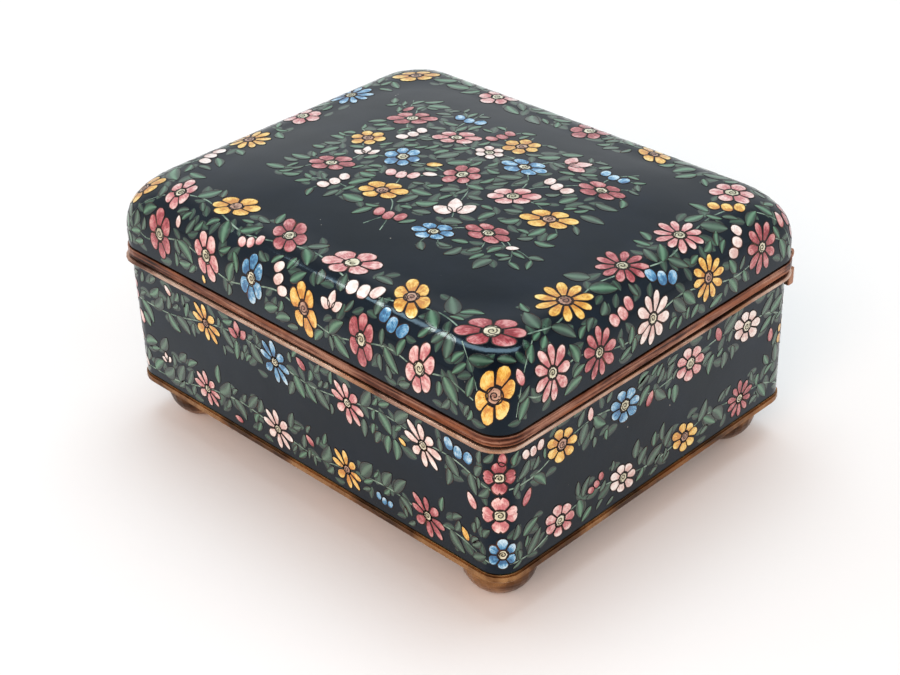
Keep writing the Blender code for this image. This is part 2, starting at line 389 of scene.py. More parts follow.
class Face:
    """One side of the box. u runs along it and v up it, both in mm, from a middle on the surface."""

    def __init__(self, art, middle, outward, span, profile=None, up=UP, stretch=1.0):
        self.art = art
        self.low, self.high = span
        self.middle = Vector(middle)
        self.outward = Vector(outward).normalized()
        self.up = up
        self.along = up.cross(self.outward)
        self.profile = profile
        self.stretch = stretch

    def guess(self, u, v):
        point = self.middle + self.along * (u * MM)
        if self.profile is None:
            return point + self.up * (v * MM)
        inwards, rise = self.profile(v)
        return point - self.outward * (inwards * self.stretch) + self.up * rise

    def place(self, u, v, turn=0.0):
        return Place(self.art.ground, self.guess(u, v), self.up, turn)


class Art:
    """All the drawing on one body: its layers, which become pieces at the end."""

    def __init__(self, ground, leaf_slots):
        self.ground = ground
        self.leaf_slots = leaf_slots
        self.room = Room()
        self.dim_room = Room()
        for name, lift in LIFTS.items():
            setattr(self, name, Layer(ground, lift))


def lid_profile():
    """A function from the distance up the lid's side, in mm, to how far in and how high that is."""
    points = [(0.0, 0.0)]
    for step in range(SHOULDER_STEPS + 1):
        inset, rise = shoulder_curve(step)
        points.append((SHOULDER_WIDTH * inset, LID_WALL_HEIGHT + SHOULDER_HEIGHT * rise))
    points.append((SHOULDER_WIDTH + 0.02, LID_WALL_HEIGHT + SHOULDER_HEIGHT + CROWN_RISE * 0.7))

    def at(height):
        left = height * MM
        for (x0, z0), (x1, z1) in zip(points, points[1:]):
            length = hypot(x1 - x0, z1 - z0)
            if left <= length:
                share = left / length
                return x0 + (x1 - x0) * share, z0 + (z1 - z0) * share
            left -= length
        return points[-1]

    return at


# Drawing

def aimed(angle, length=1.0):
    return Vector((cos(angle), sin(angle))) * length


def bell(t, base, tip):
    """Half width along a leaf, 1 at its widest: base and tip say how pointed its ends are."""
    widest = base / (base + tip)
    return (t / widest) ** base * ((1 - t) / (1 - widest)) ** tip


# How pointed the base and the tip are
ALMOND = (0.55, 0.70)
BEAD = (0.36, 0.40)
LEAF = (0.60, 0.80)


def almond_rows(base, tip, half_width, ends=ALMOND, bend=0.0, steps=PETAL_STEPS, across=PETAL_ACROSS):
    """Rows of flat points from base to tip, widest between them."""
    base, tip = Vector(base), Vector(tip)
    side = (tip - base).orthogonal().normalized()
    rows = []
    for step in range(steps + 1):
        t = 0.5 - 0.5 * cos(pi * (0.03 + 0.94 * step / steps))
        middle = base.lerp(tip, t) + side * (bend * half_width * sin(pi * t))
        half = half_width * bell(t, *ends)
        rows.append([middle + side * (half * s) for s in across])
    return rows


def sector_rows(angle, spread, start, end, size, roundness, notch=0.0):
    """Rows of flat points of a flower's petal, from the heart outwards.

    It is drawn in a circle of radius 1 and stretched to size, so that neighbours never cross.
    """
    axis = aimed(angle)
    side = axis.orthogonal()
    shoulder = 1 - roundness
    rows = []
    for step in range(PETAL_STEPS + 1):
        t = 0.99 * sin(pi / 2 * step / PETAL_STEPS)
        half = tan(spread) * (start + (end - start) * min(t, shoulder))
        if t > shoulder:
            half *= sqrt(1 - ((t - shoulder) / roundness) ** 2)
        row = []
        for s in PETAL_ACROSS:
            reach = start + (end - start) * (t - notch * t ** 5 * (1 - abs(s)) ** 1.5)
            point = axis * reach + side * (half * s)
            row.append(Vector((point.x * size[0], point.y * size[1])))
        rows.append(row)
    return rows


def ribbon(layer, place, points, width, closed=False):
    """A flat band of one width along flat points."""
    rows, last = [], len(points) - 1
    for i, point in enumerate(points):
        before = points[i - 1] if i > 0 or closed else point
        after = points[i + 1 if i < last else 0] if i < last or closed else point
        aside = (after - before).orthogonal().normalized() * (width / 2)
        rows.append([point + aside, point - aside])
    layer.grid(place.lay(rows), closed=closed)


def spots_of(place, rows):
    """Circles that cover a cell: their middles on the ground and their radii."""
    for row in rows[1:-1:2]:
        yield place.at(row[len(row) // 2]), (row[0] - row[-1]).length / 2 * MM


def cell(art, layer, place, rows, slot):
    """A filled cell and the wire round it."""
    for point, reach in spots_of(place, rows):
        art.room.take(point, reach)
    layer.grid(place.lay(rows), slot)
    sides = [row[0] for row in rows], [row[-1] for row in reversed(rows)]
    outline = sides[0] + rows[-1][1:-1] + sides[1] + rows[0][-2:0:-1]
    wires, width = (art.leaf_wires, LEAF_WIRE_WIDTH) if layer is art.leaves else (art.wires, WIRE_WIDTH)
    ribbon(wires, place, outline, width, closed=True)


def heart(art, place, radius, slot):
    """The middle of a flower: a round cell with a spiral wire."""
    ring = [aimed(2 * pi * i / RING_STEPS, radius) for i in range(RING_STEPS)]
    art.room.take(place.centre, radius * MM)
    art.hearts.disc(place.centre, [place.at(point) for point in ring], slot)
    ribbon(art.wires, place, ring, WIRE_WIDTH * 1.4, closed=True)
    first = rng.uniform(0, 2 * pi)
    spiral = []
    for step in range(SPIRAL_STEPS + 1):
        share = step / SPIRAL_STEPS
        angle = first + 2 * pi * SPIRAL_TURNS * share
        spiral.append(aimed(angle, radius * (0.12 + 0.50 * share)))
    ribbon(art.wires, place, spiral, WIRE_WIDTH * 0.9)


# The tones of petals at foot, middle and tip, as a monitor shows them
PETAL_COLOURS = {
    "pink": ((180, 98, 102), (208, 152, 148), (230, 204, 198)),
    "white": ((204, 166, 158), (224, 204, 196), (236, 228, 222)),
    "crimson": ((130, 38, 46), (168, 76, 82), (202, 142, 140)),
    "yellow": ((188, 122, 38), (219, 170, 70), (237, 208, 128)),
    "blue": ((28, 86, 130), (76, 142, 182), (186, 212, 224)),
}
PINK, WHITE, CRIMSON, YELLOW, BLUE = PETAL_COLOURS
PETAL_SLOT = {name: number for number, name in enumerate(PETAL_COLOURS)}

FLOWERS = {
    # petals, half width and height, heart's radius, roundness of the ends, where the end petals start,
    # notch, share of its sector that a petal fills
    "daisy": (10, 5.0, 5.2, 1.35, 0.42, 0.0, 0.0, 0.86),
    "tall_daisy": (9, 5.0, 6.1, 1.35, 0.42, 0.0, 0.0, 0.86),
    "slant_daisy": (8, 4.3, 5.8, 1.20, 0.46, 0.0, 0.0, 0.80),
    "oval": (6, 3.7, 5.9, 1.40, 0.46, 0.30, 0.0, 0.93),
    "six": (6, 3.8, 4.2, 1.25, 0.50, 0.32, 0.0, 0.92),
    "rosette": (7, 3.9, 5.0, 1.45, 0.40, 0.0, 0.0, 0.92),
    "hearts": (4, 4.7, 4.7, 1.45, 0.62, 0.0, 0.16, 0.88),
}


def flower(art, place, kind, colour, scale):
    count, width, height, radius, roundness, end_start, notch, fullness = FLOWERS[kind]
    size = (width * scale, height * scale)
    radius *= scale
    for number in range(count):
        angle = pi / 2 + 2 * pi * number / count
        is_end = abs(sin(angle)) > 0.99
        angle += rng.uniform(-0.04, 0.04)
        middle_reach = hypot(size[0] * cos(angle), size[1] * sin(angle))
        start = max(radius * 0.80 / middle_reach, end_start if is_end else 0.0)
        spread = pi / count * fullness * rng.uniform(0.96, 1.04)
        rows = sector_rows(angle, spread, start, rng.uniform(0.90, 1.03), size, roundness, notch)
        cell(art, art.petals, place, rows, PETAL_SLOT[colour])
    heart(art, place, radius, 1 if colour == YELLOW else 0)


SMALL = {
    # half width and ends of the petals, how far they waver in degrees, and of each petal the place that it is
    # drawn from, its direction, and the reach from there to its foot and to its tip
    "trio": (0.98, ALMOND, 6, ((0, -1.8, 140, 0.5, 3.4), (0, -1.8, 90, 0.5, 4.0), (0, -1.8, 40, 0.5, 3.4))),
    "beads": (1.24, BEAD, 8, (
        (-2.6, 0.4, 114, -1.55, 1.55), (0.0, 0.0, 94, -1.55, 1.55), (2.6, 0.5, 70, -1.55, 1.55))),
    "bud": (1.15, ALMOND, 0, ((0, 0, 90, -2.0, 2.2),)),
}


def small_flower(art, place, kind, colour, scale):
    """A half-open fan of three petals, three blunt petals in a bow, or a bud."""
    half_width, ends, waver, petals = SMALL[kind]
    for x, y, direction, foot, tip in petals:
        aim = aimed(radians(direction + (rng.uniform(-waver, waver) if waver else 0)))
        middle = Vector((x, y)) * scale
        from_to = (middle + aim * (reach * scale) for reach in (foot, tip))
        rows = almond_rows(*from_to, half_width * scale, ends)
        cell(art, art.petals, place, rows, PETAL_SLOT[colour])


def leaf_rows(tip, half_width, most_bend):
    bend = rng.uniform(-most_bend, most_bend)
    return almond_rows((0, 0), tip, half_width, LEAF, bend, LEAF_STEPS, LEAF_ACROSS)


def leaf(face, u, v, angle, length, spare=0.00005):
    """A leaf whose foot is at u, v and that points along angle, if there is room for it."""
    tip = aimed(angle, length)
    if not face.low <= v + tip.y <= face.high:
        return
    place = face.place(u, v)
    rows = leaf_rows(tip, length * rng.uniform(0.21, 0.31), 0.5)
    if all(face.art.room.is_free(point, reach + spare) for point, reach in spots_of(place, rows)):
        cell(face.art, face.art.leaves, place, rows, rng.choice(face.art.leaf_slots))


def fill_leaves(face, reach, level, half_height, length, tries, aim=0, spread=1.5):
    """Leaves wherever the flowers and vines left room in a band round a level."""
    for _ in range(round(tries)):
        u = rng.uniform(-reach, reach)
        v = level + rng.uniform(-half_height, half_height)
        angle = radians(aim) + rng.choice((0, pi)) + rng.uniform(-spread, spread)
        leaf(face, u, v, angle, length * rng.uniform(0.55, 1.10))


def fill_dim_leaves(face, reach, low, high, tries):
    """Dim leaves under the others, which fill a band up to its straight edges."""
    art = face.art
    for _ in range(round(tries)):
        foot = Vector((rng.uniform(-reach, reach), rng.uniform(low, high)))
        angle = rng.uniform(0, 2 * pi)
        length = rng.uniform(2.6, 4.6)
        tip = aimed(angle, length)
        end = foot + tip
        if abs(end.x) > reach or not low <= end.y <= high:
            continue
        place = face.place(*foot)
        rows = leaf_rows(tip, length * 0.26, 0.4)
        spots = list(spots_of(place, rows))
        if all(art.room.is_free(at, size * 0.4) and art.dim_room.is_free(at, size) for at, size in spots):
            for at, size in spots:
                art.dim_room.take(at, size)
            art.dim_leaves.grid(place.lay(rows))


def smooth_path(points, spacing):
    """Points at an even spacing on a smooth curve through the given ones."""
    padded = [points[0]] + list(points) + [points[-1]]
    path = []
    for i in range(len(points) - 1):
        p0, p1, p2, p3 = (Vector(point) for point in padded[i:i + 4])
        pieces = max(2, round((p2 - p1).length / spacing))
        for step in range(pieces):
            t = step / pieces
            path.append(0.5 * (
                2 * p1 + (p2 - p0) * t + (2 * p0 - 5 * p1 + 4 * p2 - p3) * t ** 2
                + (3 * p1 - p0 - 3 * p2 + p3) * t ** 3))
    path.append(Vector(points[-1]))
    return path


def vine(face, points, leaf_length, gap, width=STEM_WIDTH):
    """A stem through the points, with leaves along it that lean the way it grows."""
    path = smooth_path(points, 0.7)
    rows = []
    travelled = 0.0
    next_leaf = gap * 0.6
    side = 1
    for i, point in enumerate(path):
        ahead = path[min(i + 1, len(path) - 1)] - path[max(i - 1, 0)]
        ahead.normalize()
        aside = ahead.orthogonal() * (width / 2)
        rows.append([face.guess(*(point + aside)), face.guess(*(point - aside))])
        if i > 0:
            travelled += (point - path[i - 1]).length
        if travelled >= next_leaf:
            angle = atan2(ahead.y, ahead.x) + side * radians(LEAF_LEAN + rng.uniform(-9, 9))
            leaf(face, point.x, point.y, angle, leaf_length * rng.uniform(0.85, 1.12), 0.0)
            next_leaf = travelled + gap / 2 * rng.uniform(0.85, 1.15)
            side = -side
    face.art.stems.grid(rows)


def bowed(start, end, aside):
    return [start, (start + end) / 2 + aside, end]


def garland(face, stops, level, sway, sink=0.0, **options):
    """A vine along a row from stop to stop, swaying above and below its level and sinking at its ends."""
    last = len(stops) - 1
    points = [Vector((u, level - (sink if i in (0, last) else 0.0))) for i, u in enumerate(stops)]
    for i, (start, end) in enumerate(zip(points, points[1:])):
        drift = sway if i % 2 or i == last - 1 else -sway
        vine(face, bowed(start, end, Vector((0, drift))), **options)


# Colours and materials

def srgb(red, green, blue):
    """A colour of a monitor, 0 to 255, as the linear one that shaders take."""
    linear = []
    for value in (red, green, blue):
        share = value / 255
        linear.append(share / 12.92 if share <= 0.04045 else ((share + 0.055) / 1.055) ** 2.4)
    return (*linear, 1.0)


class Nodes:
    """The nodes of a material or a world under construction."""

    def __init__(self, owner):
        self.owner = owner
        owner.use_nodes = True
        self.tree = owner.node_tree

    def node(self, kind, inputs=None, **settings):
        node = self.tree.nodes.new(kind)
        for key, value in settings.items():
            setattr(node, key, value)
        for key, value in (inputs or {}).items():
            self.put(node.inputs[key], value)
        return node

    def put(self, socket, value):
        if isinstance(value, bpy.types.NodeSocket):
            self.tree.links.new(value, socket)
        else:
            socket.default_value = value

    def ramp(self, value, *stops):
        """Linear colours by a value. A stop is a position and the colour there."""
        node = self.node("ShaderNodeValToRGB", {"Fac": value})
        elements = node.color_ramp.elements
        while len(elements) < len(stops):
            elements.new(0.5)
        for element, (position, colour) in zip(elements, stops):
            element.position = position
            element.color = colour
        return node.outputs["Color"]


class Finish(Nodes):
    """A material, with what the enamels and the copper have in common."""

    def __init__(self, name):
        super().__init__(bpy.data.materials.new(name))

    def position(self):
        return self.node("ShaderNodeTexCoord").outputs["Object"]

    def own(self):
        """The cell's own coordinates: along it and across it, both from 0 to 1."""
        return self.node("ShaderNodeUVMap", uv_map="cell").outputs["UV"]

    def stretched(self, scale, vector=None):
        source = vector or self.position()
        return self.node("ShaderNodeMapping", {"Vector": source, "Scale": scale}).outputs["Vector"]

    def noise(self, scale, detail=3.0, roughness=0.55, vector=None):
        return self.node("ShaderNodeTexNoise", {
            "Vector": vector or self.position(), "Scale": scale, "Detail": detail, "Roughness": roughness,
        }).outputs["Fac"]

    def spots(self, scale, reach):
        """1 in small scattered dots, 0 elsewhere."""
        cells = self.node("ShaderNodeTexVoronoi", {"Vector": self.position(), "Scale": scale})
        return self.span(cells.outputs["Distance"], reach, reach * 0.5)

    def span(self, value, low, high, to_low=0.0, to_high=1.0):
        return self.node("ShaderNodeMapRange", {
            "Value": value, "From Min": low, "From Max": high, "To Min": to_low, "To Max": to_high,
        }, interpolation_type="SMOOTHSTEP").outputs["Result"]

    def swing(self, noise, to_low=0.0, to_high=1.0):
        """Spreads the range where most of a noise lies."""
        return self.span(noise, 0.3, 0.7, to_low, to_high)

    def maths(self, operation, first, second=0.0):
        return self.node("ShaderNodeMath", {0: first, 1: second}, operation=operation).outputs[0]

    def mix(self, factor, first, second):
        """Two colours by a factor. A colour that isn't a socket is one of a monitor."""
        node = self.node("ShaderNodeMix", {0: factor}, data_type="RGBA")
        for index, value in ((6, first), (7, second)):
            self.put(node.inputs[index], srgb(*value) if isinstance(value, tuple) else value)
        return node.outputs[2]

    def tones(self, value, *stops):
        return self.ramp(value, *((position, srgb(*colour)) for position, colour in stops))

    def edges(self, radius):
        """1 on the edges of a solid, 0 on its faces."""
        soft = self.node("ShaderNodeBevel", {"Radius": radius}, samples=6).outputs["Normal"]
        plain = self.node("ShaderNodeNewGeometry").outputs["Normal"]
        match = self.node("ShaderNodeVectorMath", {0: soft, 1: plain}, operation="DOT_PRODUCT")
        return self.span(match.outputs["Value"], 0.985, 0.86)

    def finish(self, colour, roughness, bump, **sockets):
        """The material. bump is the height, the strength and the distance of its small unevenness."""
        node = self.node("ShaderNodeBump", dict(zip(("Height", "Strength", "Distance"), bump)))
        sockets.update(Base_Color=colour, Roughness=roughness, Normal=node.outputs["Normal"])
        for name, value in sockets.items():
            self.put(self.tree.nodes["Principled BSDF"].inputs[name.replace("_", " ")], value)
        return self.owner


def black_enamel():
    """Glossy near-black ground, a little uneven from stoning and polishing."""
    make = Finish("black_enamel")
    cloud = make.noise(90, 4)
    fine = make.noise(900, 3)
    colour = make.tones(cloud, (0.30, (6, 8, 13)), (0.55, (9, 13, 21)), (0.75, (14, 19, 30)))
    pits = make.spots(420, 0.08)
    chips = make.maths("MULTIPLY", pits, make.span(make.noise(160, 2), 0.62, 0.68))
    colour = make.mix(chips, colour, (150, 145, 135))
    roughness = make.span(make.noise(60, 4), 0.3, 0.75, 0.06, 0.16)
    height = make.maths("ADD", make.noise(55, 2), make.maths("MULTIPLY", fine, 0.05))
    return make.finish(
        colour, roughness, (height, 0.30, 0.0006),
        Specular_IOR_Level=0.25, Specular_Tint=(0.52, 0.78, 1.0, 1.0))


def petal_enamel(name, deep, middle, pale):
    """Opaque enamel laid with a brush: deep at the foot of a petal, pale at the tip, streaky."""
    make = Finish(name)
    split = make.node("ShaderNodeSeparateXYZ", {"Vector": make.own()}).outputs
    patches = make.noise(700, 3, 0.6)
    places = make.noise(260, 1)
    streak_source = make.node("ShaderNodeVectorMath", {0: make.own(), 1: make.position()}).outputs[0]
    streaks = make.noise(6.0, 3, 0.6, make.stretched((0.6, 2.6, 60), streak_source))
    level = split["X"]
    for unevenness, reach in ((patches, 0.36), (places, 0.22), (streaks, 0.22)):
        level = make.maths("ADD", level, make.swing(unevenness, -reach, reach))
    colour = make.tones(level, (0.02, deep), (0.42, middle), (0.95, pale))
    edge = make.maths("ABSOLUTE", make.maths("SUBTRACT", split["Y"], 0.5))
    colour = make.mix(make.span(edge, 0.36, 0.50, 0.0, 0.30), colour, deep)
    pits = make.spots(1500, 0.15)
    rare = make.span(make.noise(420, 1), 0.46, 0.54)
    colour = make.mix(make.maths("MULTIPLY", pits, rare), colour, (62, 34, 30))
    roughness = make.swing(patches, 0.08, 0.22)
    height = make.maths("SUBTRACT", patches, make.maths("MULTIPLY", pits, 0.8))
    return make.finish(colour, roughness, (height, 0.25, 0.0002), Coat_Weight=0.4, Coat_Roughness=0.08)


def leaf_enamel(name, dark, light, rib):
    """Green enamel with a paler rib and darker edges."""
    make = Finish(name)
    split = make.node("ShaderNodeSeparateXYZ", {"Vector": make.own()}).outputs
    middle = make.maths("ABSOLUTE", make.maths("SUBTRACT", split["Y"], 0.5))
    patches = make.noise(600, 3, 0.6)
    places = make.noise(120, 1)
    level = make.maths("ADD", make.swing(patches, 0.0, 0.6), make.swing(places, 0.0, 0.4))
    colour = make.mix(level, dark, light)
    colour = make.mix(make.span(middle, 0.26, 0.02, 0.0, 0.62), colour, rib)
    colour = make.mix(make.span(middle, 0.12, 0.46, 0.0, 0.92), colour, (15, 29, 25))
    return make.finish(
        colour, make.swing(patches, 0.10, 0.24), (patches, 0.2, 0.0002), Coat_Weight=0.3, Coat_Roughness=0.08)


def stem_enamel():
    make = Finish("stem_enamel")
    patches = make.noise(500, 3)
    colour = make.mix(make.span(patches, 0.35, 0.65), (58, 84, 70), (132, 156, 138))
    return make.finish(colour, make.swing(patches, 0.2, 0.4), (patches, 0.2, 0.0001))


def wire_copper():
    """The edges of the cell wires, dulled brown, with brighter rubbed places."""
    make = Finish("wire_copper")
    patches = make.noise(300, 3)
    colour = make.mix(make.span(patches, 0.55, 0.75), (34, 20, 16), (96, 60, 44))
    return make.finish(
        colour, make.swing(patches, 0.35, 0.6), (make.noise(1500, 2), 0.2, 0.0001), Metallic=0.55)


def copper(name, dark, body, amber, bright, streaky):
    """Worn copper: streaks drawn along its length, amber and brown patina, bright edges."""
    make = Finish(name)
    blotches = make.noise(70, 4, 0.6)
    streaks = make.noise(90, 4, 0.65, make.stretched((0.5, 0.5, 16)))
    fine = make.noise(1400, 2)
    level = make.maths("ADD", make.swing(blotches, 0.0, 1.0 - streaky), make.swing(streaks, 0.0, streaky))
    colour = make.tones(level, (0.25, dark), (0.50, body), (0.84, bright))
    drawn = make.noise(60, 3, 0.6, make.stretched((1, 1, 1 + 11 * streaky)))
    colour = make.mix(make.span(drawn, 0.50, 0.64, 0.0, 0.7), colour, amber)
    worn = make.maths("MULTIPLY", make.edges(0.0003), make.span(make.noise(220, 3), 0.35, 0.6, 0.15, 0.7))
    colour = make.mix(worn, colour, bright)
    stains = make.span(make.noise(260, 4, 0.7), 0.62, 0.70)
    colour = make.mix(make.maths("MULTIPLY", stains, 0.5), colour, dark)
    roughness = make.maths("ADD", make.swing(blotches, 0.34, 0.22), make.swing(fine, 0.0, 0.10))
    height = make.maths("ADD", make.maths("MULTIPLY", streaks, streaky), make.maths("MULTIPLY", fine, 0.3))
    return make.finish(colour, roughness, (height, 0.25, 0.0002), Metallic=0.92)


def counter_enamel():
    """Plain turquoise enamel that covers the copper inside."""
    make = Finish("counter_enamel")
    cloud = make.noise(60, 4)
    colour = make.mix(make.swing(cloud), (50, 140, 153), (76, 164, 172))
    specks = make.spots(900, 0.16)
    colour = make.mix(make.maths("MULTIPLY", specks, 0.5), colour, (24, 70, 84))
    return make.finish(colour, make.swing(cloud, 0.16, 0.30), (make.noise(180, 3), 0.3, 0.0004))


def floor_paper():
    make = Finish("floor_paper")
    cloud = make.noise(4, 2)
    colour = make.mix(make.swing(cloud), (238, 232, 228), (242, 237, 234))
    return make.finish(colour, 0.9, (make.noise(300, 2), 0.05, 0.001))


GROUND_ENAMELS = (black_enamel(), counter_enamel())

# The materials of each layer of cells
CELL_MATERIALS = {
    "dim_leaves": [leaf_enamel("deep_green_enamel", (14, 40, 27), (30, 66, 46), (54, 90, 70))],
    "stems": [stem_enamel()],
    "leaves": [
        leaf_enamel("green_enamel", (22, 62, 42), (54, 104, 74), (104, 145, 116)),
        leaf_enamel("grey_green_enamel", (28, 55, 42), (56, 87, 68), (93, 122, 102))],
    "petals": [petal_enamel(f"{name}_enamel", *tones) for name, tones in PETAL_COLOURS.items()],
    "hearts": [
        petal_enamel("cream_enamel", (150, 146, 118), (196, 192, 162), (220, 214, 190)),
        petal_enamel("rose_enamel", (128, 84, 66), (160, 118, 96), (186, 148, 124))],
    "wires": [wire_copper()],
}
CELL_MATERIALS["leaf_wires"] = CELL_MATERIALS["wires"]


# Layout, in mm

def row(*groups):
    """Motifs in their order. A group is a kind, then the colour, along, up, turn and scale of each."""
    motifs = [(kind, *motif) for kind, *members in groups for motif in members]
    return [(*motif, *(0, 1.0)[len(motif) - 4:]) for motif in motifs]


PANEL = row(
    ("six", (CRIMSON, 2.3, -0.3, -10, 1.12)),
    ("oval", (CRIMSON, -26, 13.2, -56, 0.98), (CRIMSON, -23.1, -13.2, -66, 0.96),
     (CRIMSON, 22.6, -13.9, -80, 0.88), (CRIMSON, 27.1, 14.2, -75, 0.92)),
    ("six", (YELLOW, -26.2, 0.1, -70), (YELLOW, 1.7, 18.4, -30, 1.04)),
    ("oval", (YELLOW, -5.6, -15.3, -63, 0.96), (YELLOW, 27.4, -1.7, -57)),
    ("six", (BLUE, -13.1, -2.2, 46, 1.12)),
    ("oval", (BLUE, 9.2, 11, -76, 0.94), (BLUE, 13.9, -20.4, -70, 0.82), (PINK, -11.1, 11.9, -53, 0.92),
     (PINK, 16.2, -0.1, -48, 0.98)),
    ("six", (WHITE, -0.9, 11.2, -77, 0.84)),
    ("trio", (PINK, 16.1, 19.7, -38, 1.45), (WHITE, 10.7, -11.1, 42, 1.6), (WHITE, -21.4, -4.7, 36, 1.05)),
    ("beads", (WHITE, -19.6, 7.1, 76, 0.95), (PINK, -7.2, -8.3, 20, 0.98), (WHITE, 19.9, 8.9, -8, 0.98),
     (WHITE, -16.2, -18.6, 74, 0.95), (CRIMSON, 2.5, -21.4, 10, 0.98), (CRIMSON, -4.7, 19.2, 80, 0.95),
     (BLUE, -15.7, 20.6, 12, 0.98), (BLUE, 25.1, 20.4, 0, 0.9)),
    ("bud", (YELLOW, -5.2, -0.8, -57, 0.86), (WHITE, -2.8, -4.5, -64, 0.8), (WHITE, 29.7, -14.7, -50, 0.66),
     (CRIMSON, -30.6, 16.4, 0, 0.8)),
)

LID_ROWS = {
    "front": row(
        ("oval", (CRIMSON, -40.4, 6.8, 8), (PINK, -25.3, 7.3, 24), (BLUE, -11.3, 7.5, 2, 0.97),
         (YELLOW, 4.2, 6.8, 20, 1.02), (CRIMSON, 20.2, 6.5, 4), (PINK, 35.5, 6.7, -8)),
        ("beads", (WHITE, -3.7, 10, -62, 0.95)),
        ("trio", (WHITE, 11.1, 10.8, 8, 1.05)),
        ("beads", (BLUE, 26.9, 12, -15, 1.05)),
        ("bud", (YELLOW, -26.4, 1.6, 10, 0.5), (WHITE, -35.2, 11.2, 20, 0.66)),
        ("oval", (PINK, -39.9, 17.1, 30, 0.9), (YELLOW, -25.8, 20.2, -66, 0.98),
         (CRIMSON, -8.5, 19.4, 48, 1.02), (PINK, 8.7, 20.1, -66, 1.1), (YELLOW, 26.1, 18.8, 44, 1.04)),
        ("beads", (PINK, -14.4, 14, 26, 0.82), (WHITE, 16.9, 15.2, 12, 1.12)),
    ),
    "right": row(
        ("tall_daisy", (PINK, -30.7, 7.4, -16, 0.98), (CRIMSON, -18.3, 5.9, -8, 0.94),
         (WHITE, -3, 6.2, -26, 0.96)),
        ("daisy", (YELLOW, 14, 7.6, -20, 0.96)),
        ("tall_daisy", (CRIMSON, 31, 7.2, 0, 0.95)),
        ("beads", (PINK, -10.5, 10.4, 16, 0.95), (BLUE, 2.1, 12.4, -30), (WHITE, 24.2, 11, 50, 0.95)),
        ("bud", (PINK, 38, 10.5, 0, 0.9)),
        ("daisy", (YELLOW, -19.3, 18.5, 0, 1.16), (CRIMSON, -2.8, 18.9, 20, 1.06),
         (PINK, 13.5, 18.3, 0, 1.06)),
        ("beads", (YELLOW, 28.5, 18.4, -60)),
    ),
    "back": row(
        ("oval", (YELLOW, -36, 6.6), (PINK, -18, 6.6), (BLUE, 0, 6.6), (CRIMSON, 18, 6.6), (YELLOW, 36, 6.6)),
        ("trio", (WHITE, -27, 10.6, 0, 0.95), (WHITE, 27, 10.6, 0, 0.95)),
        ("oval", (YELLOW, -22.5, 18.2, 60, 0.85)),
        ("six", (CRIMSON, -5, 18.4, 0, 1.2), (PINK, 22, 18.4, 0, 1.2)),
    ),
    "left": row(
        ("tall_daisy", (PINK, -30, 7, 0, 0.9), (YELLOW, -15, 7, 0, 0.9), (CRIMSON, 0, 7, 0, 0.9),
         (WHITE, 15, 7, 0, 0.9), (PINK, 30, 7, 0, 0.9)),
        ("daisy", (BLUE, -16.5, 18.4, 0, 1.05)),
        ("six", (PINK, -2, 18.4, 0, 1.15)),
        ("daisy", (YELLOW, 13.5, 18.6)),
        ("beads", (WHITE, 24, 18.4, 10)),
    ),
    # The corners: along is across the corner there
    "front_right": row(
        ("oval", (CRIMSON, -0.9, 18.4, 88, 1.18), (YELLOW, -0.9, 7.6, -20, 1.12)),
        ("bud", (PINK, 4.6, 10.6, 0, 0.8)),
    ),
    "front_left": row(
        ("oval", (YELLOW, 0, 13, 0, 0.95)),
    ),
    "back_right": row(
        ("six", (PINK, 0, 19, 0, 1.2)),
        ("oval", (CRIMSON, 0, 8, 0, 0.9)),
    ),
    "back_left": row(
        ("oval", (YELLOW, 0, 19.5, 90, 0.95), (CRIMSON, 0, 7.5, 0, 0.9)),
    ),
}

